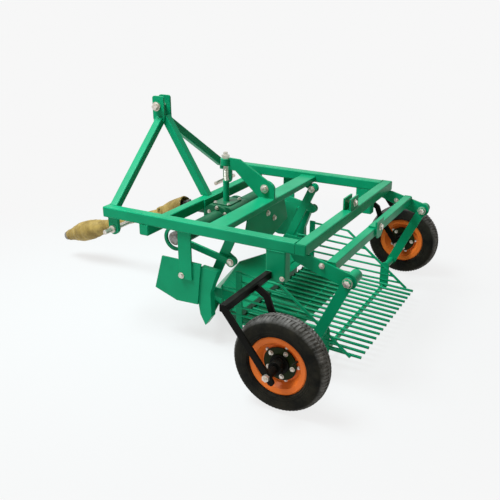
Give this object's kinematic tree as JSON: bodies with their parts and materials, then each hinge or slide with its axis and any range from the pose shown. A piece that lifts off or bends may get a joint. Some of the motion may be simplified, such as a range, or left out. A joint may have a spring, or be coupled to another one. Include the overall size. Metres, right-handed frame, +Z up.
{
  "type": "potato digger",
  "caption": "Tractor-mounted potato digger: tube frame with a three-point mast, shaft-driven shaking rod sieve, share and two forked support wheels.",
  "frame": {"origin": "on the floor, under the middle of the whole machine's box", "axes": "+X to the machine's right, +Y to the tractor, +Z up"},
  "size_m": [1.836, 2.074, 1.035],
  "materials": {
    "green_paint": "gloss",
    "gearbox_paint": "gloss",
    "zinc": "zinc plated",
    "steel": "oiled",
    "guard_plastic": "satin",
    "black_paint": "semi-gloss",
    "orange_paint": "gloss",
    "tyre": "matt rubber"
  },
  "bodies": {
    "frame": {"side_beam_left": "green_paint", "side_beam_right": "green_paint", "front_crossbeam": "green_paint", "mid_crossbeam": "green_paint", "rear_crossbeam": "green_paint", "mast_leg_left": "green_paint", "mast_leg_right": "green_paint", "mast_stay": "green_paint", "mast_plates": "green_paint", "hitch_plate_left": "green_paint", "hitch_plate_right": "green_paint", "gearbox_saddle": "green_paint", "stay_plate": "green_paint", "stay_post": "green_paint", "cheek_left": "green_paint", "cheek_right": "green_paint", "share_leg_left": "green_paint", "share_leg_right": "green_paint", "share": "green_paint", "deflector_sheet": "green_paint", "rocker_bracket_left": "green_paint", "rocker_bracket_right": "green_paint", "rear_arm_left": "green_paint", "rear_arm_right": "green_paint", "arm_crossbar": "green_paint", "beam_clamp": "green_paint", "crossbar_clamp": "green_paint", "fork_post_left": "green_paint", "fork_post_right": "green_paint", "gearbox": "gearbox_paint", "top_link_pin": "zinc", "lower_link_pin_left": "zinc", "lower_link_pin_right": "zinc", "stay_screw": "zinc", "axle_left": "zinc", "axle_right": "zinc", "cross_shaft": "steel", "input_yoke": "steel", "drive_shaft": "steel", "shaft_guard": "guard_plastic", "fork_left": "black_paint", "fork_right": "black_paint"},
    "wheel_left": {"tyre_left": "tyre", "rim_left": "orange_paint", "hub_left": "black_paint"},
    "wheel_right": {"tyre_right": "tyre", "rim_right": "orange_paint", "hub_right": "black_paint"},
    "hanger_left": {"hanger_left": "green_paint"},
    "hanger_right": {"hanger_right": "green_paint"},
    "sieve": {"sieve_floor": "green_paint", "sieve_guard_left": "green_paint", "sieve_guard_right": "green_paint"},
    "rocker_left": {"rocker_left": "green_paint"},
    "rocker_right": {"rocker_right": "green_paint"},
    "conrod_left": {"conrod_left": "green_paint"},
    "conrod_right": {"conrod_right": "green_paint"}
  },
  "joints": [
    {"name": "wheel_left_spin", "type": "hinge", "parent": "frame", "child": "wheel_left", "pos_m": [-0.778, -0.83705, 0.2], "axis": [1, 0, 0], "continuous": true},
    {"name": "wheel_right_spin", "type": "hinge", "parent": "frame", "child": "wheel_right", "pos_m": [0.778, -0.83705, 0.2], "axis": [1, 0, 0], "continuous": true},
    {"name": "sieve_swing", "type": "hinge", "parent": "frame", "child": "hanger_left", "pos_m": [-0.528, -0.99505, 0.468], "axis": [1, 0, 0], "range_deg": [-5, 5]},
    {"name": "hanger_right_swing", "type": "hinge", "parent": "frame", "child": "hanger_right", "pos_m": [0.512, -0.99505, 0.468], "axis": [1, 0, 0], "range_deg": [-5, 5]},
    {"name": "sieve_level", "type": "hinge", "parent": "hanger_left", "child": "sieve", "pos_m": [-0.528, -0.85632, 0.16637], "axis": [1, 0, 0], "range_deg": [-5, 5]},
    {"name": "rocker_left_swing", "type": "hinge", "parent": "frame", "child": "rocker_left", "pos_m": [-0.43, -0.41305, 0.526], "axis": [1, 0, 0], "range_deg": [-5, 5]},
    {"name": "conrod_left_pivot", "type": "hinge", "parent": "rocker_left", "child": "conrod_left", "pos_m": [-0.43, -0.41505, 0.41], "axis": [1, 0, 0], "range_deg": [-5, 5]},
    {"name": "rocker_right_swing", "type": "hinge", "parent": "frame", "child": "rocker_right", "pos_m": [0.43, -0.41305, 0.526], "axis": [1, 0, 0], "range_deg": [-5, 5]},
    {"name": "conrod_right_pivot", "type": "hinge", "parent": "rocker_right", "child": "conrod_right", "pos_m": [0.43, -0.41505, 0.41], "axis": [1, 0, 0], "range_deg": [-5, 5]}
  ],
  "couplings": [
    {"joint": "hanger_right_swing", "follows": "sieve_swing", "ratio": 1},
    {"joint": "sieve_level", "follows": "sieve_swing", "ratio": -1},
    {"joint": "rocker_left_swing", "follows": "sieve_swing", "ratio": 1},
    {"joint": "conrod_left_pivot", "follows": "sieve_swing", "ratio": -1},
    {"joint": "rocker_right_swing", "follows": "sieve_swing", "ratio": 1},
    {"joint": "conrod_right_pivot", "follows": "sieve_swing", "ratio": -1}
  ]
}
